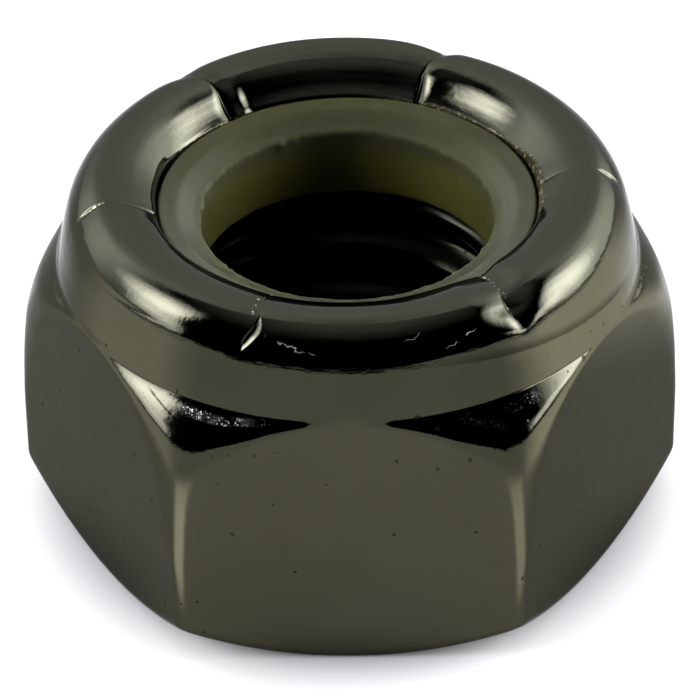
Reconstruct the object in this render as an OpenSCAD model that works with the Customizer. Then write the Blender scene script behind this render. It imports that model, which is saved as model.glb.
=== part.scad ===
// Nylon insert lock nut: a hexagonal steel nut whose round collar is rolled
// inwards over a captive nylon ring. The bearing face lies on z = 0 and the
// thread axis is +Z. Two flats face along Y, two corners along X.

/* [Hexagon] */
// Width across the flats
across_flats = 12.7; // [12.4:0.05:12.8]
// Radius of the rounded corners between the flats
corner_r = 0.45; // [0.3:0.05:0.6]
// Diameter of the flat bearing face at the bottom
bearing_d = 12.6; // [12.2:0.05:12.65]
// Angle of the bottom chamfer above the bearing face
chamfer_angle = 43; // [30:1:45]
// Radius of the crowned shoulder that cuts the tops of the corners
shoulder_r = 7.37; // [7.3:0.01:7.5]
// Height of the shoulder's centre above the bearing face
shoulder_z = 2.6; // [2.5:0.05:2.65]

/* [Collar] */
// Overall height, from the bearing face to the crest of the roll
height = 8.36; // [8.3:0.01:8.5]
// Radius of the roll's section
roll_r = 0.97; // [0.92:0.01:1]
// Distance of the roll's crest from the axis
crest_r = 5.08; // [5.05:0.01:5.12]
// Radius at the foot of the collar's wall
foot_r = 6.3; // [6.2:0.01:6.3]
// Height at the foot of the collar's wall
foot_z = 6.38; // [6.3:0.01:6.4]
// Depth of the fold marks over the roll
fold_depth = 0.1; // [0.04:0.01:0.14]
// Angle from a hexagon corner to the fold mark next to it
fold_turn = 7; // [0:1:20]

/* [Thread] */
// Diameter of the bore, the crests of the thread
minor_d = 6.73; // [6.45:0.01:6.73]
// Diameter of the countersink at the bearing face
sink_d = 8.2; // [7.95:0.05:8.6]
// Diameter of the countersink under the nylon ring
top_sink_d = 7.4; // [7.2:0.05:7.9]

/* [Nylon ring] */
// Diameter of the hole in the nylon ring
ring_hole_d = 6.4; // [6.2:0.02:6.4]
// Outer diameter of the nylon ring's pocket
pocket_d = 10.6; // [10.2:0.05:10.7]
// Height of the seat that the nylon ring sits on
seat_z = 5.65; // [5.5:0.05:5.75]
// Height of the ring's upper edge beside the rolled lip
ring_top_z = 7.56; // [7.5:0.01:7.6]
// Drop of the dished upper face, from the lip to the hole
ring_dish = 0.3; // [0.15:0.05:0.35]
// Gap between the ring and the metal around it
ring_gap = 0.02; // [0.01:0.01:0.03]

/* [Hidden] */
$fn = 96;

apothem = across_flats / 2;
corner_c = (apothem - corner_r) / cos(30);
roll_z = height - roll_r;
minor_r = minor_d / 2;
ring_r = ring_hole_d / 2;
pocket_r = pocket_d / 2;
steel = [0.36, 0.36, 0.33];
nylon = [0.78, 0.80, 0.74];

// The underside of the roll, as height at a distance from the axis
lip_end_r = crest_r - roll_r - 0.06;
wall_top_z = seat_z + 1.1;
under_r = pocket_r - 0.35;
under_z = wall_top_z + 0.35;
lip_end_z = under_z + 0.24;
function under(r) = under_z + (lip_end_z - under_z) * (under_r - r) / (under_r - lip_end_r);

// Tangent from the foot of the wall to the roll's circle
tan_d = norm([foot_r - crest_r, foot_z - roll_z]);
tan_a = atan2(foot_z - roll_z, foot_r - crest_r) + acos(roll_r / tan_d);
tan_pt = [crest_r + roll_r * cos(tan_a), roll_z + roll_r * sin(tan_a)];

module hexagon_outline() {
    difference() {
        polygon([for (k = [0:5]) apothem / cos(30) * [cos(60 * k), sin(60 * k)]]);
        for (k = [0:5]) rotate(60 * k) difference() {
            translate([corner_c + corner_r * cos(30), -2]) square([2, 4]);
            translate([corner_c, 0]) circle(r = 1.02 * corner_r);
        }
    }
}

module hexagon_block() {
    intersection() {
        linear_extrude(height = foot_z) hexagon_outline();
        rotate_extrude() polygon([
            [0, 0], [bearing_d / 2, 0],
            [bearing_d / 2 + 2, 2 * tan(chamfer_angle)],
            [bearing_d / 2 + 2, foot_z + 1], [0, foot_z + 1]]);
        translate([0, 0, shoulder_z]) sphere(r = shoulder_r);
    }
}

module collar() {
    rotate_extrude() {
        polygon([
            [0, seat_z - 0.5], [foot_r - 0.5, seat_z - 0.5], [foot_r - 0.5, foot_z - 0.2],
            [foot_r, foot_z], tan_pt, [crest_r, roll_z],
            [crest_r - 0.3, wall_top_z], [0, wall_top_z]]);
        translate([crest_r, roll_z]) circle(r = roll_r);
    }
}

module thread_bore() {
    translate([0, 0, -1]) cylinder(r = minor_r, h = height + 2);
    translate([0, 0, -1]) cylinder(r1 = sink_d / 2 + 1, r2 = sink_d / 2 - 2, h = 3);
    translate([0, 0, seat_z - 2]) cylinder(r1 = top_sink_d / 2 - 2, r2 = top_sink_d / 2 + 0.2, h = 2.2);
}

module pocket() {
    rotate_extrude() polygon([
        [0, seat_z], [pocket_r, seat_z], [pocket_r, wall_top_z],
        [under_r, under_z], [lip_end_r, lip_end_z],
        [lip_end_r, height + 1], [0, height + 1]]);
}

// One V-shaped fold mark along the roll's section, fading out on the outside
module fold_mark() {
    bottom_r = roll_r - 0.03;
    shift = fold_depth * 0.7;
    translate([crest_r + shift, 0, roll_z - shift]) rotate([90, 0, 0])
        rotate_extrude(angle = 165, start = 20)
            polygon([[bottom_r, 0], [bottom_r + 0.4, -0.36], [bottom_r + 0.4, 0.36]]);
}

module nut_body() {
    color(steel) difference() {
        union() { hexagon_block(); collar(); }
        pocket();
        thread_bore();
        for (k = [0:5]) rotate([0, 0, 60 * k + fold_turn]) fold_mark();
    }
}

module nylon_insert() {
    edge_r = crest_r - roll_r - ring_gap;
    color(nylon) rotate_extrude() polygon([
        [ring_r, seat_z], [pocket_r - ring_gap, seat_z],
        [pocket_r - ring_gap, wall_top_z - ring_gap],
        [under_r - ring_gap, under_z - 1.6 * ring_gap],
        [edge_r, under(edge_r) - 1.6 * ring_gap],
        [edge_r, ring_top_z - 0.08], [edge_r - 0.08, ring_top_z],
        [edge_r - 0.4, ring_top_z - ring_dish * 0.62],
        [ring_r + 0.14, ring_top_z - ring_dish],
        [ring_r + 0.04, ring_top_z - ring_dish - 0.05],
        [ring_r, ring_top_z - ring_dish - 0.15]]);
}

nut_body();
nylon_insert();
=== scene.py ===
import bpy
import numpy as np
from mathutils import Matrix

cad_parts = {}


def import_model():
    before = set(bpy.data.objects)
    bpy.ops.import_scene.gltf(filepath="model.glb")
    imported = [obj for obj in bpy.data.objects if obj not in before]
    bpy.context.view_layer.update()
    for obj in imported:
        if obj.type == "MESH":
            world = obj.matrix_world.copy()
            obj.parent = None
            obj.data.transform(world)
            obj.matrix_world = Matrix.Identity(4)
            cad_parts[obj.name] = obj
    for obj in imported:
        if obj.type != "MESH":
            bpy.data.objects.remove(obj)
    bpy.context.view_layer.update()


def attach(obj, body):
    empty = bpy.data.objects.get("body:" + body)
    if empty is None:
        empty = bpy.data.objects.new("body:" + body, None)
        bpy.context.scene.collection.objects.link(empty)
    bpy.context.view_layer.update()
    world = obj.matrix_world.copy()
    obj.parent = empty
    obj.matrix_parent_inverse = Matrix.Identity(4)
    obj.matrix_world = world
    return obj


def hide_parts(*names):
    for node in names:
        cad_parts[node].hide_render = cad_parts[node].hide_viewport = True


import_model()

MM = 0.001

# ------------------------------------------------------------------ dimensions, mm
AP = 6.35              # half the width across the flats
CORNER_R = 0.40        # rounding of the six vertical edges
PITCH = 25.4 / 18.0
R_CREST = 3.365        # thread crests
R_ROOT = 3.95          # thread roots
SEAT_Z = 5.65
POCKET_R = 5.30

# fold marks over the roll: angle outside, shift towards the lip; then depth and widths
# before and after it of the groove outside, its depth over the crest, depth and widths at
# the lip, depth and widths of the wider hollow, how far the lip droops on either side,
# how far down the outside the groove lies, how much it leans (mm and degrees) and whether
# the hollow has one straight side
FOLDS = [
    (2.0, 1.4, (0.050, 2.4, 1.0), 0.006, (0.016, 1.6, 1.6), (0.024, 5.0, 3.0), (0.05, 0.0), 0, 0.0, False),
    (66.2, 3.0, (0.070, 1.6, 1.4), 0.014, (0.080, 3.2, 1.0), (0.080, 2.4, 6.0), (0.0, 0.05), 0, 0.0, False),
    (131.0, -3.4, (0.060, 1.4, 1.4), 0.014, (0.075, 2.2, 3.4), (0.045, 4.0, 4.0), (0.0, 0.10), 0, 0.0, False),
    (190.4, 1.0, (0.040, 0.8, 1.6), 0.014, (0.016, 0.8, 1.6), (0.024, 4.0, 4.0), (0.0, 0.0), 0, 0.0, False),
    (249.5, -2.4, (0.072, 0.3, 2.3), 0.012, (0.012, 0.6, 1.2), (0.010, 3.0, 3.0), (0.0, 0.0), 9, 2.4, False),
    (306.5, 3.4, (0.010, 1.0, 1.4), 0.010, (0.012, 1.0, 1.0), (0.170, 8.5, 4.5), (0.0, 0.0), 4, 0.0, True),
]
# fullness of the roll after each fold mark, going round to the next
FULL = [0.024, 0.088, 0.028, 0.018, 0.010, 0.018]


def smin(a, b, k):
    h = np.maximum(k - np.abs(a - b), 0.0) / k
    return np.minimum(a, b) - h * h * k * 0.25


def smax(a, b, k):
    return -smin(-a, -b, k)


def sstep(a, b, x):
    t = np.clip((x - a) / (b - a), 0.0, 1.0)
    return t * t * (3 - 2 * t)


def wrap(a):
    return (a + np.pi) % (2 * np.pi) - np.pi


def waves(th, z, seed, count, fmin, fmax, zscale):
    """Smooth repeatable unevenness around the axis, about -1 to 1."""
    rs = np.random.RandomState(seed)
    out = np.zeros(np.broadcast(th, z).shape)
    for _ in range(count):
        f = rs.randint(fmin, fmax + 1)
        out = out + np.sin(f * th + rs.uniform(0, 6.28) + z * rs.uniform(-zscale, zscale))
    return out / np.sqrt(count)


def hex_r(th):
    ph = (th + np.pi / 2 + np.pi / 6) % (np.pi / 3) - np.pi / 6
    dc = (AP - CORNER_R) / np.cos(np.pi / 6)
    al = np.pi / 6 - np.abs(ph)
    lim = np.pi / 6 - np.arctan2(dc * np.sin(np.pi / 6), AP)
    rr = dc * np.cos(al) + np.sqrt(np.maximum(CORNER_R ** 2 - (dc * np.sin(al)) ** 2, 0.0))
    return np.where(al < lim, rr, AP / np.cos(ph))


def curve(pts, n):
    """Smooth curve through pts, n samples evenly spaced along it."""
    p = np.asarray(pts, float)
    p = np.vstack([2 * p[0] - p[1], p, 2 * p[-1] - p[-2]])
    out = []
    for i in range(1, len(p) - 2):
        p0, p1, p2, p3 = p[i - 1:i + 3]
        t0 = 0.0
        t1 = t0 + np.linalg.norm(p1 - p0) ** 0.5
        t2 = t1 + np.linalg.norm(p2 - p1) ** 0.5
        t3 = t2 + np.linalg.norm(p3 - p2) ** 0.5
        t = np.linspace(t1, t2, 40, endpoint=False)[:, None]
        a1 = (t1 - t) / (t1 - t0) * p0 + (t - t0) / (t1 - t0) * p1
        a2 = (t2 - t) / (t2 - t1) * p1 + (t - t1) / (t2 - t1) * p2
        a3 = (t3 - t) / (t3 - t2) * p2 + (t - t2) / (t3 - t2) * p3
        b1 = (t2 - t) / (t2 - t0) * a1 + (t - t0) / (t2 - t0) * a2
        b2 = (t3 - t) / (t3 - t1) * a2 + (t - t1) / (t3 - t1) * a3
        out.append((t2 - t) / (t2 - t1) * b1 + (t - t1) / (t2 - t1) * b2)
    out.append(p[-2][None])
    c = np.vstack(out)
    s = np.r_[0, np.cumsum(np.linalg.norm(np.diff(c, axis=0), axis=1))]
    q = np.linspace(0, s[-1], n)
    return np.c_[np.interp(q, s, c[:, 0]), np.interp(q, s, c[:, 1])]


def bezier(a, c, b, n):
    t = np.linspace(0, 1, n)[:, None]
    return (1 - t) ** 2 * np.asarray(a) + 2 * t * (1 - t) * np.asarray(c) + t * t * np.asarray(b)


def columns(n):
    """Angles around the axis, closer together at the corners and the fold marks."""
    fine = np.linspace(0, 2 * np.pi, 14400, endpoint=False)
    dens = np.ones_like(fine)
    for k in range(6):
        d = np.degrees(wrap(fine - np.radians(60 * k)))
        dens += 2.4 * np.exp(-(d / 2.2) ** 2)
    for f in FOLDS:
        d = np.degrees(wrap(fine - np.radians(f[0])))
        dens += 4.0 * np.exp(-(d / 1.3) ** 2) + 1.2 * np.exp(-(d / 4.0) ** 2)
    cdf = np.r_[0, np.cumsum(dens)]
    cdf /= cdf[-1]
    th = np.interp((np.arange(n) + 0.5) / n, cdf, np.r_[fine, 2 * np.pi])
    for f in FOLDS:
        th[np.argmin(np.abs(wrap(th - np.radians(f[0]))))] = np.radians(f[0])
    return np.sort(th)


# ------------------------------------------------------------------ nut body
OUTSIDE = [
    (1.000, 0.990), (0.9945, 1.020), (0.9855, 1.060), (0.9735, 1.115), (0.960, 1.165), (0.9425, 1.210), (0.915, 1.252),
    (0.885, 1.2800), (0.855, 1.2975), (0.825, 1.3040)]
# inner side of the roll, down to the lip: at the back, at the sides and in between at the front
INSIDE = [
    [(0.795, 1.3015), (0.765, 1.2906), (0.735, 1.2704), (0.710, 1.2454), (0.690, 1.2240), (0.673, 1.2087), (0.6640, 1.2015),
     (0.6585, 1.1965), (0.6550, 1.1885), (0.6535, 1.175), (0.6530, 1.158)],
    [(0.795, 1.3020), (0.765, 1.2945), (0.735, 1.2825), (0.710, 1.2700), (0.690, 1.2585), (0.673, 1.2475), (0.6640, 1.2400),
     (0.6580, 1.2310), (0.6545, 1.2190), (0.6535, 1.200), (0.6530, 1.170)],
    [(0.796, 1.3028), (0.768, 1.2975), (0.742, 1.2900), (0.718, 1.2810), (0.700, 1.2725), (0.686, 1.2645), (0.6780, 1.2580),
     (0.6720, 1.2490), (0.6685, 1.2370), (0.6660, 1.215), (0.6640, 1.180)],
]
ROLLS = [AP * np.array(OUTSIDE + q) for q in INSIDE]
ROLL = ROLLS[0]
SHOULDER = AP * np.array([
    (1.205, 0.30), (1.168, 0.44), (1.1495, 0.57), (1.134, 0.672), (1.1145, 0.778), (1.0765, 0.885), (1.0375, 0.945),
    (1.002, 0.988), (0.968, 1.025), (0.925, 1.070)])


def fold_field(x, phi, u_in, fold):
    """Depth of one fold mark at x degrees from it, on a surface sloping phi degrees."""
    (d_out, wo0, wo1), d_mid, (d_in, wi0, wi1), (dip, dw0, dw1) = fold[2:6]
    low = phi + fold[7]
    out_w = sstep(31, 46, low) * (1 - sstep(52, 78, low))
    in_w = sstep(0.10, 0.70, u_in)
    mid_w = sstep(30, 50, low)
    depth = d_out * out_w + d_in * in_w + d_mid * mid_w
    wo = np.where(x < 0, wo0, wo1) * (0.25 + 0.75 * out_w)
    wi = np.where(x < 0, wi0, wi1) * (0.35 + 0.65 * in_w)
    w = np.maximum(wo + (wi - wo) * sstep(0.02, 0.5, u_in), 0.3)
    cut = depth * np.maximum(1 - np.abs(x) / w, 0.0) ** 1.6
    hollow = np.exp(-(x / np.where(x < 0, dw0, dw1)) ** 2)
    start = 20.0
    if fold[9]:
        # one side runs straight into the fold mark, the other starts further down
        wide = dw1 * (0.60 + 0.75 * sstep(24, 70, low))
        hollow = np.where(x < 0, np.maximum(1 + x / dw0, 0.0) ** 1.5, np.exp(-(x / wide) ** 2))
        start = 24 - 6 * sstep(-2.0, 2.0, x)
    t = np.clip((low - start) / 30.0, 0.0, 1.0)
    return cut + dip * t * t * (3 - 2 * t) * (1 - 0.60 * sstep(0.0, 1.0, u_in)) * hollow


def body_mesh(n_th):
    th = columns(n_th)
    T = th[:, None]
    hexr = hex_r(th)[:, None]
    P = []

    def put(r, z, t=None):
        shape = np.broadcast(r, z, T).shape
        P.append([np.broadcast_to(q, shape) for q in (r, z, T if t is None else t)])

    # bearing face, from the countersink outwards
    base_r = np.array([4.10, 4.16, 4.8, 5.5, 6.05, 6.24])
    z_base = np.zeros_like(base_r)
    z_base[0] = 0.04
    put(smin(hexr * 0.985, base_r[None, :] + 0 * hexr, 0.05), z_base[None, :])

    # hexagon zone: heights with the turned outline that limits the radius
    cham = bezier((6.30, 0.0), (6.97, 0.455), (7.60, 1.04), 60)
    sh = curve(SHOULDER, 200)
    z = np.r_[0.012 + 1.36 * np.linspace(0, 1, 22) ** 1.15, np.linspace(1.55, 2.6, 4), np.linspace(2.75, 6.268, 62)]
    low = np.interp(z, cham[:, 1], cham[:, 0], right=9.0)
    wall = ROLL[0, 0] + (ROLL[0, 1] - z) * 0.183
    top = np.where(z > SHOULDER[0, 1], smax(np.interp(z, sh[:, 1], sh[:, 0]), wall, 0.06), 9.0)
    off = np.degrees(np.abs((T + np.pi / 2 + np.pi / 6) % (np.pi / 3) - np.pi / 6))
    soft = 0.06 + 0.20 * sstep(8, 26, off)
    R1 = smin(hexr, top[None, :] + 0 * hexr, soft)
    R1 = smin(R1, low[None, :] + 0 * hexr, 0.24)
    R1 = R1 + 0.0035 * waves(T, z[None, :], 3, 7, 2, 9, 1.2)
    put(R1, z[None, :])

    # collar: wall, roll and lip, moved along their own slope by the fold marks
    back = sstep(-0.15, 0.75, np.sin(T))
    between = (1 - back) * sstep(0.15, 0.5, np.abs(np.cos(T))) * (1 - sstep(0.93, 0.998, np.abs(np.cos(T))))
    share = [back, 1 - back - between, between]
    c, tan, ph, u_out, u_in = 0, 0, 0, 0, 0
    for w, q in zip(share, ROLLS):
        a = curve(q, 88)
        t = np.gradient(a, axis=0)
        t /= np.linalg.norm(t, axis=1, keepdims=True)
        arc = np.r_[0, np.cumsum(np.linalg.norm(np.diff(a, axis=0), axis=1))]
        top_j = int(np.argmax(a[:, 1]))
        c = c + w[:, :, None] * a[None]
        tan = tan + w[:, :, None] * t[None]
        ph = ph + w * np.maximum.accumulate(np.degrees(np.arctan2(-t[:, 0], t[:, 1])))[None, :]
        u_out = u_out + w * np.clip(arc / arc[top_j], 0, 1)[None, :]
        u_in = u_in + w * np.clip((arc - arc[top_j]) / (arc[-1] - arc[top_j]), 0, 1)[None, :]
    cr, cz = c[:, :, 0], c[:, :, 1]
    tan /= np.linalg.norm(tan, axis=2, keepdims=True)
    nr, nz = tan[:, :, 1], -tan[:, :, 0]
    T2 = T + 0 * ph
    d = 0 * T2
    angs = np.array([f[0] for f in FOLDS])
    for k, f in enumerate(FOLDS):
        x = np.degrees(wrap(T - np.radians(f[0])))
        turn = f[1] * sstep(58, 140, ph) + f[8] * (sstep(26, 62, ph) - 0.5)
        T2 = T2 + np.radians(turn) * np.exp(-(x / 9.0) ** 2)
        d = d - fold_field(x + 0 * ph, ph, u_in, f)
        gap = (angs[(k + 1) % 6] - f[0]) % 360.0
        t = (np.degrees(T) - f[0]) % 360.0 / gap
        full = np.where(t < 1, 1 - np.abs(2 * np.minimum(t, 1) - 1) ** 3.4, 0.0)
        d = d + FULL[k] * full * sstep(0.05, 0.9, u_out) * (1 - sstep(60, 104, ph))
    # raised edge beside the fold mark at the back left
    x = np.degrees(wrap(T - np.radians(131.0)))
    d = d + 0.046 * np.exp(-((x + 4.8) / 3.0) ** 2) * sstep(0.25, 0.60, u_in) * (1 - sstep(0.80, 1.0, u_in))
    d = d + 0.006 * sstep(0.1, 0.5, u_out) * waves(T, cz, 21, 9, 2, 14, 0.8)
    # shallow lines round the wall, left by the rolling tool
    deg = np.degrees(wrap(T))
    for t0, t1, fade, z0, at, k, amp, up, down in ((-80, -10, 28, 6.80, -26, -0.0122, 0.008, 0.20, 0.12),
                                                   (-156, -128, 10, 7.62, -142, 0.004, 0.008, 0.045, 0.045)):
        dz = cz - z0 - k * (deg - at)
        win = sstep(t0, t0 + fade, deg) * (1 - sstep(t1 - 10, t1, deg))
        d = d - amp * win * np.exp(-(dz / np.where(dz > 0, up, down)) ** 2)
    # ragged inner edge of the lip, worst on one side
    rag = 0.20 + 0.80 * np.exp(-(wrap(T - np.radians(20)) / np.radians(32)) ** 2)
    edge = sstep(0.80, 0.97, u_in)
    d = d - edge * (0.045 * (rag - 0.20) + 0.020 * rag * waves(T, 0 * ph, 5, 12, 40, 110, 0) + 0.005 * waves(T, 0 * ph, 8, 6, 5, 25, 0))
    # the lip droops beside some fold marks
    droop = 0 * T
    for f in FOLDS:
        x = np.degrees(wrap(T - np.radians(f[0])))
        droop = droop + np.where(x < 0, f[6][0], f[6][1]) * np.exp(-(x / 6.0) ** 2) * sstep(0.0, 0.8, np.abs(x))
    droop = droop * sstep(0.35, 1.0, u_in)
    R2 = cr + nr * d + tan[:, :, 0] * droop
    Z2 = cz + nz * d + tan[:, :, 1] * droop
    sh_up = np.interp(cz, sh[:, 1], sh[:, 0], right=0.0)
    R2 = np.where(cz < sh[-1, 1], smax(R2, sh_up, 0.06), R2)
    R2 = smin(hexr + 2 * sstep(6.35, 6.80, cz), R2, soft)
    put(R2, Z2, T2)

    # underside of the lip, pocket and seat
    last_r, last_z = R2[:, -1:], Z2[:, -1:]
    und = np.array([(0.02, -0.05), (0.09, -0.10), (0.40, -0.18)])
    put(last_r + und[None, :, 0], last_z + und[None, :, 1], T2[:, -1:])
    pk = np.array([(4.95, 7.02), (5.22, 6.84), (POCKET_R, 6.60), (POCKET_R, 6.1), (POCKET_R, SEAT_Z + 0.05),
                   (5.24, SEAT_Z), (4.5, SEAT_Z), (3.80, SEAT_Z)])
    put(pk[None, :, 0], pk[None, :, 1])

    # thread, running out into a countersink at each end
    z = np.linspace(SEAT_Z - 0.03, 0.09, 56)
    turn = (z[None, :] / PITCH - T / (2 * np.pi)) % 1.0
    tri = np.abs(turn - 0.5) * 2
    prof = np.clip((tri - 0.16) / 0.66, 0, 1)
    prof = prof * prof * (3 - 2 * prof) * 0.35 + prof * 0.65
    rt = R_CREST + (R_ROOT - R_CREST) * prof
    cone = np.maximum(4.13 - z, 3.72 - (SEAT_Z - z))[None, :]
    put(smax(rt, cone + 0 * rt, 0.06), z[None, :])
    return [np.concatenate([q[i] for q in P], axis=1) for i in (2, 0, 1)]


def ring_faces(n, m):
    i = np.arange(n)[:, None]
    j = np.arange(m)[None, :]
    i2, j2 = (i + 1) % n, (j + 1) % m
    return np.stack([i * m + j, i2 * m + j, i2 * m + j2, i * m + j2], -1).reshape(-1, 4)


def make_mesh(name, th, R, Z):
    n, m = R.shape
    V = np.stack([R * np.cos(th), R * np.sin(th), Z], -1).reshape(-1, 3) * MM
    F = ring_faces(n, m)
    me = bpy.data.meshes.new(name)
    me.vertices.add(len(V))
    me.vertices.foreach_set("co", V.astype(np.float32).ravel())
    me.loops.add(F.size)
    me.loops.foreach_set("vertex_index", F.astype(np.int32).ravel())
    me.polygons.add(len(F))
    me.polygons.foreach_set("loop_start", (np.arange(len(F)) * 4).astype(np.int32))
    me.polygons.foreach_set("loop_total", np.full(len(F), 4, np.int32))
    me.polygons.foreach_set("use_smooth", np.ones(len(F), bool))
    me.update(calc_edges=True)
    me.validate()
    ob = bpy.data.objects.new(name, me)
    bpy.context.scene.collection.objects.link(ob)
    return ob


# ------------------------------------------------------------------ nylon ring
def ring_mesh(n_th):
    T = np.linspace(0, 2 * np.pi, n_th, endpoint=False)[:, None]
    prof = [(3.20, 5.70), (3.24, 5.655), (4.2, 5.655), (5.22, 5.655), (5.27, 5.70), (5.27, 6.3), (5.26, 6.66),
            (5.05, 6.86), (4.75, 7.00), (4.35, 7.04), (4.14, 7.09), (4.10, 7.17), (4.105, 7.30), (4.115, 7.42)]
    top = curve([(4.12, 7.53), (4.11, 7.585), (4.07, 7.600), (3.93, 7.575), (3.80, 7.550), (3.73, 7.532), (3.675, 7.508),
                 (3.60, 7.468), (3.48, 7.40), (3.36, 7.332), (3.27, 7.28), (3.225, 7.235), (3.205, 7.18)], 40)
    wall = np.c_[np.full(14, 3.20), np.linspace(7.13, 5.76, 14)]
    p = np.vstack([prof, top, wall])
    R = np.broadcast_to(p[:, 0], (n_th, len(p))).copy()
    Z = np.broadcast_to(p[:, 1], (n_th, len(p))).copy()
    j0, j1 = len(prof), len(prof) + len(top)
    # uneven hole edge with small burrs and nicks
    w = np.zeros(len(p))
    w[j0:j1] = sstep(3.36, 3.21, top[:, 0])
    w[j1:j1 + 4] = [0.45, 0.12, 0.0, 0.0]
    rim = 0.006 * waves(T, 0 * T, 31, 12, 12, 60, 0) + 0.006 * waves(T, 0 * T, 33, 12, 60, 110, 0)
    burr = np.zeros_like(T)
    for ang, amp, wd in ((118, 0.05, 2.0), (172, 0.06, 3.0), (182, 0.04, 2.0), (48, 0.03, 1.6), (215, 0.03, 2.2),
                         (300, 0.035, 1.5), (262, 0.025, 1.2), (20, 0.03, 1.8), (335, 0.03, 1.5)):
        burr = burr - amp * np.exp(-(np.degrees(wrap(T - np.radians(ang))) / wd) ** 2)
    R += w[None, :] * (rim + burr)
    Z += w[None, :] * (0.4 * burr + 0.008 * waves(T, 0 * T, 35, 8, 10, 50, 0))
    # faint unevenness of the pressed upper face
    t = np.zeros(len(p))
    t[j0:j1] = sstep(4.10, 4.0, top[:, 0])
    Z += t[None, :] * 0.006 * waves(T, 3 * R, 41, 9, 2, 12, 0.6)
    # slow wobble of the hole wall
    wl = np.zeros(len(p))
    wl[j1:] = 1
    R += wl[None, :] * 0.006 * waves(T, Z, 43, 6, 2, 9, 1.0)
    return T + 0 * R, R, Z


# ------------------------------------------------------------------ node helpers
class Nodes:
    def __init__(self, tree):
        self.t = tree
        tree.nodes.clear()

    def add(self, kind, **kw):
        n = self.t.nodes.new(kind)
        for k, v in kw.items():
            setattr(n, k, v)
        return n

    def link(self, a, b):
        self.t.links.new(a, b)

    def put(self, sock, v):
        if isinstance(v, (int, float)):
            sock.default_value = v
        elif isinstance(v, tuple):
            sock.default_value = v
        else:
            self.link(v, sock)

    def math(self, op, a, b=None, c=None, clamp=False):
        n = self.add("ShaderNodeMath", operation=op, use_clamp=clamp)
        self.put(n.inputs[0], a)
        if b is not None:
            self.put(n.inputs[1], b)
        if c is not None:
            self.put(n.inputs[2], c)
        return n.outputs[0]

    def ramp(self, x, a, b, lo=0.0, hi=1.0):
        n = self.add("ShaderNodeMapRange", interpolation_type="SMOOTHSTEP")
        self.put(n.inputs["Value"], x)
        n.inputs["From Min"].default_value = a
        n.inputs["From Max"].default_value = b
        n.inputs["To Min"].default_value = lo
        n.inputs["To Max"].default_value = hi
        return n.outputs[0]

    def noise(self, vec, scale, detail=2.0, rough=0.5, dist=0.0):
        n = self.add("ShaderNodeTexNoise")
        self.link(vec, n.inputs["Vector"])
        n.inputs["Scale"].default_value = scale
        n.inputs["Detail"].default_value = detail
        n.inputs["Roughness"].default_value = rough
        n.inputs["Distortion"].default_value = dist
        return n.outputs["Fac"]

    def voronoi(self, vec, scale, feature="F1", rnd=1.0):
        n = self.add("ShaderNodeTexVoronoi", feature=feature)
        self.link(vec, n.inputs["Vector"])
        n.inputs["Scale"].default_value = scale
        n.inputs["Randomness"].default_value = rnd
        return n

    def mix(self, fac, a, b):
        n = self.add("ShaderNodeMix", data_type="RGBA")
        self.put(n.inputs["Factor"], fac)
        for s, v in ((n.inputs[6], a), (n.inputs[7], b)):
            if isinstance(v, tuple):
                s.default_value = v if len(v) == 4 else (*v, 1.0)
            else:
                self.link(v, s)
        return n.outputs[2]


# ------------------------------------------------------------------ plated steel
def polar(N):
    tc = N.add("ShaderNodeTexCoord")
    obj = tc.outputs["Object"]
    sep = N.add("ShaderNodeSeparateXYZ")
    N.link(obj, sep.inputs[0])
    x, y, z = sep.outputs
    rr = N.math("SQRT", N.math("ADD", N.math("MULTIPLY", x, x), N.math("MULTIPLY", y, y)))
    return obj, x, y, z, rr


def azimuth(N, x, y):
    """Degrees round from the front, positive to the right."""
    a = N.math("ARCTAN2", x, N.math("MULTIPLY", y, -1.0))
    return N.math("MULTIPLY", a, 57.29578)


def span(N, v, a0, a1, a2, a3):
    return N.math("MULTIPLY", N.ramp(v, a0, a1), N.ramp(v, a3, a2))


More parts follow.
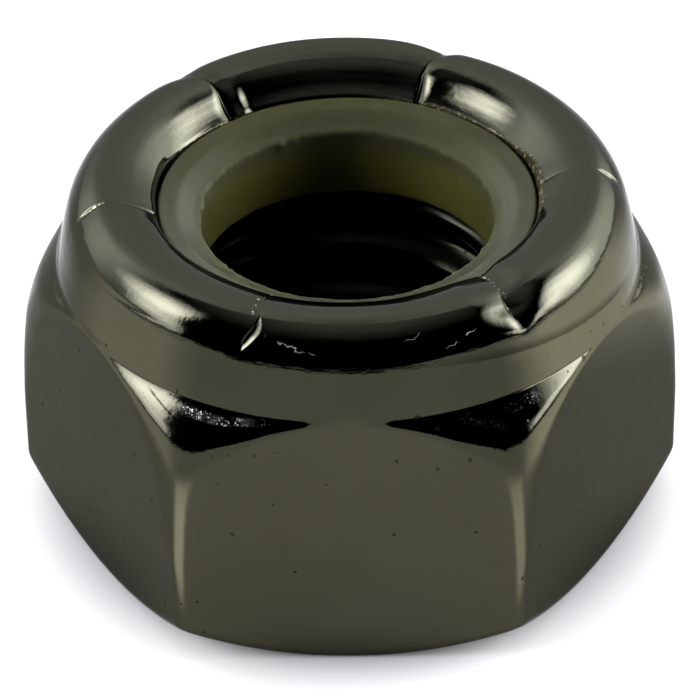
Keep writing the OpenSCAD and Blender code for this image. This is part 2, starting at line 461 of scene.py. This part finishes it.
def metal():
    mat = bpy.data.materials.new("plated_steel_visual")
    mat.use_nodes = True
    N = Nodes(mat.node_tree)
    out = N.add("ShaderNodeOutputMaterial")
    bs = N.add("ShaderNodeBsdfPrincipled")
    N.link(bs.outputs[0], out.inputs["Surface"])
    bs.inputs["Specular Tint"].default_value = (0.54, 0.54, 0.54, 1.0)
    bs.inputs["Specular IOR Level"].default_value = 0.12
    obj, x, y, z, rr = polar(N)

    # small pits: some cells of a scattered pattern, with uneven outlines
    wob = N.add("ShaderNodeTexNoise")
    N.link(obj, wob.inputs["Vector"])
    wob.inputs["Scale"].default_value = 9000.0
    off = N.add("ShaderNodeVectorMath", operation="SCALE")
    N.link(wob.outputs["Color"], off.inputs[0])
    off.inputs["Scale"].default_value = 0.00006
    vec = N.add("ShaderNodeVectorMath", operation="ADD")
    N.link(obj, vec.inputs[0])
    N.link(off.outputs[0], vec.inputs[1])
    v1 = N.voronoi(vec.outputs[0], 2300.0)
    cs = N.add("ShaderNodeSeparateColor")
    N.link(v1.outputs["Color"], cs.inputs[0])
    size = N.ramp(cs.outputs[1], 0.0, 1.0, 0.07, 0.18)
    pit = N.math("DIVIDE", v1.outputs["Distance"], size)
    pit = N.ramp(pit, 1.0, 0.45)
    crowd = N.noise(obj, 330.0, 2.0)
    pick = N.math("MULTIPLY", N.ramp(cs.outputs[0], 0.14, 0.18), N.ramp(crowd, 0.36, 0.48))
    pit = N.math("MULTIPLY", N.math("MULTIPLY", pit, pick), N.ramp(z, 0.0072, 0.0069))

    # bore: darker and duller base colour inside the thread
    bore = N.math("MULTIPLY", N.ramp(rr, 0.00430, 0.00415), N.ramp(z, 0.0059, 0.0056))

    # three fine scratches across the front of the roll
    th = N.math("MULTIPLY", N.math("ARCTAN2", y, x), 57.29578)
    wig = N.math("SUBTRACT", N.noise(obj, 5200.0, 2.0, 0.6), 0.5)
    scratch = None
    for t0, t1, z0, z1 in ((-107.0, -96.0, 0.00800, 0.00775), (-80.0, -74.5, 0.00789, 0.00804), (-70.0, -62.5, 0.00772, 0.00790)):
        k = (z1 - z0) / (t1 - t0)
        zc = N.math("ADD", N.math("MULTIPLY", N.math("SUBTRACT", th, t0), k), z0)
        dz = N.math("ABSOLUTE", N.math("ADD", N.math("SUBTRACT", z, zc), N.math("MULTIPLY", wig, 0.00026)))
        m = N.math("MULTIPLY", N.ramp(dz, 0.000016, 0.000005), span(N, th, t0 - 0.6, t0 + 0.6, t1 - 0.8, t1 + 0.4))
        scratch = m if scratch is None else N.math("ADD", scratch, m)
    scratch = N.math("MULTIPLY", N.math("MULTIPLY", scratch, N.ramp(rr, 0.0051, 0.0053)), N.ramp(N.noise(obj, 3600.0, 1.0), 0.28, 0.46))

    # bright crumbs of plating along three of the fold marks
    crumb = None
    for (r0, t0), (r1, t1) in (((4.35, -50.2), (5.75, -53.4)), ((4.75, -112.4), (5.45, -110.9)), ((5.25, -169.3), (5.80, -169.7))):
        ax, ay = r0 * np.cos(np.radians(t0)) * MM, r0 * np.sin(np.radians(t0)) * MM
        bx, by = r1 * np.cos(np.radians(t1)) * MM, r1 * np.sin(np.radians(t1)) * MM
        ln = float(np.hypot(bx - ax, by - ay))
        ux, uy = float((bx - ax) / ln), float((by - ay) / ln)
        px, py = N.math("SUBTRACT", x, float(ax)), N.math("SUBTRACT", y, float(ay))
        along = N.math("ADD", N.math("MULTIPLY", px, ux), N.math("MULTIPLY", py, uy))
        side = N.math("ABSOLUTE", N.math("SUBTRACT", N.math("MULTIPLY", px, uy), N.math("MULTIPLY", py, ux)))
        m = N.math("MULTIPLY", N.ramp(side, 0.000045, 0.000015), span(N, along, 0.0, 0.0001, ln * 0.9, ln))
        crumb = m if crumb is None else N.math("ADD", crumb, m)
    crumb = N.math("MULTIPLY", N.math("MULTIPLY", crumb, N.ramp(z, 0.0070, 0.0073)), N.ramp(N.noise(obj, 9500.0, 1.0), 0.52, 0.62))

    # painted shade: a soft dark band above a shallow step round the wall on the right, below the roll, painted in the
    # base colour
    dz = N.math("ADD", N.math("SUBTRACT", z, 0.00680), N.math("MULTIPLY", N.math("ADD", th, 26.0), 0.0000122))
    dz = N.math("ADD", dz, N.math("MULTIPLY", wig, 0.00005))
    painted_step_shade = N.math("MULTIPLY", N.ramp(dz, -0.00003, 0.00002), N.ramp(dz, 0.00026, 0.0))
    painted_step_shade = N.math("MULTIPLY", N.math("MULTIPLY", painted_step_shade, span(N, th, -82, -56, -24, -10)), N.ramp(N.noise(obj, 700.0, 2.0), 0.30, 0.60, 0.45, 0.75))

    # raw edge of the lip, torn on the right
    reach = N.math("ADD", N.math("MULTIPLY", span(N, th, -24, -4, 18, 32), 0.00011), 0.00416)
    reach = N.math("ADD", reach, N.math("MULTIPLY", span(N, th, 18, 32, 110, 150), 0.00004))
    lip = N.math("MULTIPLY", N.ramp(N.math("SUBTRACT", rr, reach), 0.00004, -0.00002), N.ramp(z, 0.0069, 0.0072))
    raw = N.math("MULTIPLY", lip, N.math("MAXIMUM", span(N, th, -40, -16, 62, 88), N.math("MULTIPLY", span(N, th, 120, 132, 150, 165), 0.8)))
    grit = N.noise(obj, 8500.0, 3.0, 0.65)
    N.link(N.math("SUBTRACT", 1.0, N.math("MULTIPLY", raw, 0.8)), bs.inputs["Metallic"])

    # tone of the plating
    tone = N.noise(obj, 260.0, 4.0, 0.6)
    fine = N.noise(obj, 1500.0, 3.0, 0.6)
    col = N.mix(N.ramp(tone, 0.3, 0.7), (0.0450, 0.0446, 0.0286), (0.0500, 0.0495, 0.0326))
    col = N.mix(N.math("MULTIPLY", pit, 0.75), col, (0.012, 0.0095, 0.005))
    col = N.mix(N.math("MULTIPLY", bore, 0.93), col, (0.006, 0.006, 0.004))
    # painted shade: the left half of the bore is darkened further, hiding thread glints on that side
    col = N.mix(N.math("MULTIPLY", bore, N.ramp(x, 0.0004, -0.0016)), col, (0.0012, 0.0012, 0.0008))
    # painted shade above the step on the right wall
    col = N.mix(painted_step_shade, col, (0.008, 0.0075, 0.0045))
    col = N.mix(scratch, col, (0.36, 0.38, 0.38))
    col = N.mix(crumb, col, (0.52, 0.48, 0.30))
    col = N.mix(raw, col, N.mix(N.ramp(grit, 0.52, 0.66), (0.020, 0.018, 0.006), (0.17, 0.155, 0.075)))
    # bright specks on the shoulders where the die has scuffed the plating
    z_l = N.math("SUBTRACT", z, N.math("MULTIPLY", N.math("MAXIMUM", N.math("ADD", th, 114.0), 0.0), 0.0000155))
    z_r = N.math("ADD", z, N.math("MULTIPLY", N.math("ADD", th, 64.3), 0.0000386))
    band_l = N.math("MULTIPLY", span(N, z_l, 0.00599, 0.00605, 0.00615, 0.00622), span(N, th, -124, -120, -109, -101))
    band_r = N.math("MULTIPLY", span(N, z_r, 0.00586, 0.00594, 0.00604, 0.00612), span(N, th, -71, -68, -62, -58))
    grain = N.math("MULTIPLY", span(N, z, 0.00596, 0.00604, 0.00616, 0.00626), span(N, th, -61, -58, -54, -51))
    band_r = N.math("ADD", band_r, grain)
    band = N.math("MULTIPLY", N.math("ADD", band_l, N.math("MULTIPLY", band_r, 0.42)), N.ramp(rr, 0.00634, 0.00638))
    # painted shade: a dark line across the left shoulder, painted in the base colour where a crease shades it
    z_c = N.math("ADD", z, N.math("MULTIPLY", N.math("ADD", th, 131.6), 0.0000385))
    painted_crease_shade = N.math("ADD", N.math("ABSOLUTE", N.math("SUBTRACT", z_c, 0.00625)), N.math("MULTIPLY", N.math("ABSOLUTE", wig), 0.00008))
    painted_crease_shade = N.math("MULTIPLY", N.ramp(painted_crease_shade, 0.000034, 0.000012), span(N, th, -131.5, -129, -123, -121))
    v2 = N.voronoi(obj, 21000.0)
    c2 = N.add("ShaderNodeSeparateColor")
    N.link(v2.outputs["Color"], c2.inputs[0])
    few = N.math("MULTIPLY", N.ramp(c2.outputs[0], 0.35, 0.90), N.ramp(N.noise(obj, 2200.0, 2.0), 0.36, 0.54))
    speck = N.math("MULTIPLY", N.math("MULTIPLY", N.ramp(v2.outputs["Distance"], 0.55, 0.30), few), band)
    speck = N.math("ADD", speck, N.math("MULTIPLY", band, N.ramp(N.noise(obj, 1400.0, 3.0, 0.6), 0.36, 0.62, 0.10, 0.55)))

    col = N.mix(speck, col, (0.36, 0.36, 0.32))
    # painted shade of the crease across the left shoulder
    col = N.mix(N.math("MULTIPLY", painted_crease_shade, 0.9), col, (0.006, 0.0055, 0.003))
    N.link(col, bs.inputs["Base Color"])

    # roughness: bright plating with duller patches
    r = N.ramp(fine, 0.35, 0.75, 0.05, 0.09)
    r = N.math("ADD", r, N.math("MULTIPLY", N.ramp(tone, 0.45, 0.75), 0.03))
    r = N.math("ADD", r, N.math("MULTIPLY", pit, 0.3))
    r = N.math("ADD", r, N.math("MULTIPLY", bore, 0.12))
    r = N.math("ADD", r, N.math("MULTIPLY", N.math("ADD", scratch, crumb), 0.4))
    r = N.math("ADD", r, N.math("MULTIPLY", raw, 0.22))
    r = N.math("ADD", r, N.math("MULTIPLY", speck, 0.3))
    N.link(r, bs.inputs["Roughness"])

    # relief: streaks round the collar, fine grain, pits
    inv = N.math("DIVIDE", 1.0, rr)
    cyl = N.add("ShaderNodeCombineXYZ")
    N.link(N.math("MULTIPLY", N.math("MULTIPLY", x, inv), 5.0), cyl.inputs[0])
    N.link(N.math("MULTIPLY", N.math("MULTIPLY", y, inv), 5.0), cyl.inputs[1])
    N.link(N.math("MULTIPLY", z, 9000.0), cyl.inputs[2])
    st = N.add("ShaderNodeTexNoise", noise_dimensions="4D")
    N.link(cyl.outputs[0], st.inputs["Vector"])
    N.link(N.math("MULTIPLY", rr, 9000.0), st.inputs["W"])
    st.inputs["Scale"].default_value = 1.0
    st.inputs["Detail"].default_value = 2.0
    collar = N.ramp(z, 0.0064, 0.0068)
    h = N.math("MULTIPLY", N.math("MULTIPLY", st.outputs["Fac"], collar), 0.9)
    h = N.math("ADD", h, N.math("MULTIPLY", N.noise(obj, 7000.0, 3.0, 0.6), 0.60))
    h = N.math("ADD", h, N.math("MULTIPLY", N.noise(obj, 1100.0, 2.0, 0.5), 1.5))
    h = N.math("ADD", h, N.math("MULTIPLY", N.math("MULTIPLY", grit, raw), 9.0))
    h = N.math("SUBTRACT", h, N.math("MULTIPLY", pit, 1.2))
    b = N.add("ShaderNodeBump")
    b.inputs["Strength"].default_value = 1.0
    b.inputs["Distance"].default_value = 0.0000035
    N.link(h, b.inputs["Height"])
    N.link(b.outputs[0], bs.inputs["Normal"])
    return mat


# ------------------------------------------------------------------ nylon
def nylon():
    mat = bpy.data.materials.new("nylon_visual")
    mat.use_nodes = True
    N = Nodes(mat.node_tree)
    out = N.add("ShaderNodeOutputMaterial")
    bs = N.add("ShaderNodeBsdfPrincipled")
    N.link(bs.outputs[0], out.inputs["Surface"])
    bs.inputs["Subsurface Weight"].default_value = 0.8
    bs.inputs["Subsurface Radius"].default_value = (1.0, 0.96, 0.45)
    bs.inputs["Subsurface Scale"].default_value = 0.0005
    bs.inputs["IOR"].default_value = 1.5
    bs.inputs["Specular IOR Level"].default_value = 0.24
    bs.inputs["Specular Tint"].default_value = (1.0, 1.0, 0.46, 1.0)
    obj, x, y, z, rr = polar(N)
    n1 = N.noise(obj, 500.0, 3.0, 0.55)
    zone = N.ramp(N.math("ADD", rr, N.math("MULTIPLY", N.math("SUBTRACT", n1, 0.5), 0.00008)), 0.00364, 0.00374)
    col = N.mix(zone, (0.033, 0.035, 0.0150), (0.024, 0.024, 0.0060))
    col = N.mix(N.ramp(n1, 0.45, 0.85), col, (0.038, 0.039, 0.0165))
    wall = N.ramp(z, 0.00716, 0.0066)
    # painted light: the hole wall is lighter at the back and darker at the sides
    col = N.mix(wall, col, N.mix(N.ramp(y, 0.0004, 0.0028), (0.026, 0.0252, 0.0038), (0.060, 0.058, 0.0085)))
    N.link(col, bs.inputs["Base Color"])
    rim = N.ramp(rr, 0.00340, 0.00328, 0.0, 0.3)
    N.link(N.math("ADD", N.ramp(N.noise(obj, 1800.0, 2.0), 0.3, 0.7, 0.28, 0.42), rim), bs.inputs["Roughness"])
    b = N.add("ShaderNodeBump")
    b.inputs["Strength"].default_value = 1.0
    b.inputs["Distance"].default_value = 0.00001
    h = N.math("ADD", N.noise(obj, 1600.0, 3.0), N.math("MULTIPLY", N.noise(obj, 420.0, 2.0), 1.5))
    N.link(h, b.inputs["Height"])
    N.link(b.outputs[0], bs.inputs["Normal"])
    return mat


# ------------------------------------------------------------------ floor, light, camera
def floor():
    s = 3.0
    me = bpy.data.meshes.new("floor")
    me.from_pydata([(-s, -s, 0), (s, -s, 0), (s, s, 0), (-s, s, 0)], [], [(0, 1, 2, 3)])
    ob = bpy.data.objects.new("floor", me)
    bpy.context.scene.collection.objects.link(ob)
    mat = bpy.data.materials.new("floor")
    mat.use_nodes = True
    N = Nodes(mat.node_tree)
    out = N.add("ShaderNodeOutputMaterial")
    bs = N.add("ShaderNodeBsdfPrincipled")
    N.link(bs.outputs[0], out.inputs["Surface"])
    bs.inputs["Base Color"].default_value = (0.50, 0.49, 0.455, 1.0)
    bs.inputs["Roughness"].default_value = 0.9
    bs.inputs["Specular IOR Level"].default_value = 0.0
    # painted light: the floor glows, in bright pools to the left and right, and fades out close to the nut
    obj, x, y, z, rr = polar(N)
    az = azimuth(N, x, y)
    def pool(a0, a1, a2, a3, d0, d1, d2, d3, power):
        return N.math("MULTIPLY", N.math("MULTIPLY", span(N, az, a0, a1, a2, a3), span(N, rr, d0, d1, d2, d3)), power)

    glow = N.math("MULTIPLY", N.ramp(rr, 0.0058, 0.0078, 0.0, 0.60), N.ramp(rr, 0.014, 0.030, 1.0, 0.45))
    glow = N.math("MULTIPLY", glow, N.ramp(N.math("ABSOLUTE", az), 10.0, 30.0, 0.90, 1.0))
    glow = N.math("ADD", glow, pool(-56, -45, -36, -26, 0.0085, 0.0100, 0.0130, 0.0200, 3.0))
    glow = N.math("ADD", glow, pool(26, 36, 45, 56, 0.0085, 0.0100, 0.0130, 0.0200, 2.1))
    glow = N.math("ADD", glow, pool(-115, -92, -70, -50, 0.0130, 0.0220, 0.0600, 0.2000, 1.2))
    glow = N.math("ADD", glow, pool(52, 76, 114, 138, 0.0110, 0.0160, 0.0400, 0.2000, 2.8))
    N.link(glow, bs.inputs["Emission Strength"])
    bs.inputs["Emission Color"].default_value = (1.0, 0.99, 0.96, 1.0)
    me.materials.append(mat)
    return ob


def world():
    w = bpy.data.worlds.new("studio")
    bpy.context.scene.world = w
    w.use_nodes = True
    N = Nodes(w.node_tree)
    out = N.add("ShaderNodeOutputWorld")
    bg = N.add("ShaderNodeBackground")
    N.link(bg.outputs[0], out.inputs["Surface"])
    tc = N.add("ShaderNodeTexCoord")
    sep = N.add("ShaderNodeSeparateXYZ")
    N.link(tc.outputs["Generated"], sep.inputs[0])
    x, y, z = sep.outputs
    el = N.math("MULTIPLY", N.math("ARCSINE", z), 57.29578)
    az = azimuth(N, x, y)
    aaz = N.math("ABSOLUTE", az)
    # white sweep behind, curving overhead and darkening towards the top
    back = N.math("MULTIPLY", N.ramp(aaz, 100.0, 125.0, 0.0, 1.49), N.ramp(el, 44.0, 92.0, 1.0, 0.52))
    back = N.math("MULTIPLY", back, N.ramp(aaz, 172.0, 140.0, 1.0, 1.28))
    # dark room in front, dim overhead
    top = N.math("MULTIPLY", N.ramp(el, 46.0, 84.0), 0.56)
    base = N.math("MAXIMUM", back, top)

    # two soft boxes, left and right, each fading away from its centre
    def dome(a0, wa, e0, we, f0, f1, power):
        da = N.math("DIVIDE", N.math("SUBTRACT", az, a0), wa)
        de = N.math("DIVIDE", N.math("SUBTRACT", el, e0), we)
        q = N.math("SQRT", N.math("ADD", N.math("MULTIPLY", da, da), N.math("MULTIPLY", de, de)))
        return N.math("MULTIPLY", N.ramp(q, f1, f0), power)

    left = N.math("MULTIPLY", dome(-82.0, 26.0, 29.0, 21.0, 0.10, 1.15, 19.0), N.ramp(az, -65.0, -71.0))
    left = N.math("ADD", left, N.math("MULTIPLY", N.math("MULTIPLY", span(N, az, -98, -86, -68, -62), span(N, el, 0, 6, 12, 19)), 6.0))
    right = N.math("MULTIPLY", dome(97.0, 23.0, 21.0, 22.0, 0.10, 1.2, 18.0), N.ramp(az, 66.0, 76.0))
    right = N.math("ADD", right, N.math("MULTIPLY", N.math("MULTIPLY", span(N, az, 62, 70, 84, 94), span(N, el, 3, 8, 13, 20)), 8.0))
    halo = N.math("ADD", dome(-116.0, 44.0, 20.0, 36.0, 0.2, 1.0, 2.0), dome(120.0, 40.0, 11.0, 36.0, 0.2, 1.0, 4.1))
    boxes = N.math("ADD", left, right)
    soft = N.add("ShaderNodeVectorMath", operation="SCALE")
    soft.inputs[0].default_value = (0.89, 0.95, 1.08)
    N.link(N.math("ADD", base, halo), soft.inputs["Scale"])
    hard = N.add("ShaderNodeVectorMath", operation="SCALE")
    hard.inputs[0].default_value = (0.97, 0.985, 1.16)
    N.link(boxes, hard.inputs["Scale"])
    both = N.add("ShaderNodeVectorMath", operation="ADD")
    N.link(soft.outputs[0], both.inputs[0])
    N.link(hard.outputs[0], both.inputs[1])
    N.link(both.outputs[0], bg.inputs["Color"])
    bg.inputs["Strength"].default_value = 1.0
    return w


def camera():
    e, yaw, roll = np.radians(37.68), np.radians(-0.50), np.radians(-0.829)
    dist = 16.127 * AP * MM
    foc = 280.126 * 16.127
    du, dv = 351.22 - 350.0, 477.88 - 350.0
    right = np.array([1.0, 0, 0])
    up = np.array([0, np.sin(e), np.cos(e)])
    fwd = np.array([0, np.cos(e), -np.sin(e)])
    r = np.cos(roll) * right + np.sin(roll) * up
    u = -np.sin(roll) * right + np.cos(roll) * up
    f = foc * fwd - du * r + dv * u
    f /= np.linalg.norm(f)
    r = r - (r @ f) * f
    r /= np.linalg.norm(r)
    u = np.cross(r, f)
    turn = np.array([[np.cos(yaw), np.sin(yaw), 0], [-np.sin(yaw), np.cos(yaw), 0], [0, 0, 1.0]])
    loc = turn @ (-fwd * dist)
    r, u, f = turn @ r, turn @ u, turn @ f
    data = bpy.data.cameras.new("camera")
    data.sensor_fit = "HORIZONTAL"
    data.sensor_width = 36.0
    data.lens = float(foc * 36.0 / 700.0)
    data.clip_start = 0.005
    data.clip_end = 50.0
    cam = bpy.data.objects.new("camera", data)
    m = np.eye(4)
    m[:3, 0], m[:3, 1], m[:3, 2], m[:3, 3] = r, u, -f, loc
    cam.matrix_world = Matrix([[float(q) for q in row] for row in m])
    bpy.context.scene.collection.objects.link(cam)
    bpy.context.scene.camera = cam


camera()
world()
floor()

body = make_mesh("nut_body_visual", *body_mesh(384))
body.data.materials.append(metal())
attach(body, "root")
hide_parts("nut_body")

ring = make_mesh("nylon_insert_visual", *ring_mesh(420))
ring.data.materials.append(nylon())
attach(ring, "root")
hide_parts("nylon_insert")

view = bpy.context.scene.view_settings
view.view_transform = "Standard"
view.look = "None"
view.exposure = 0.0
view.gamma = 1.0
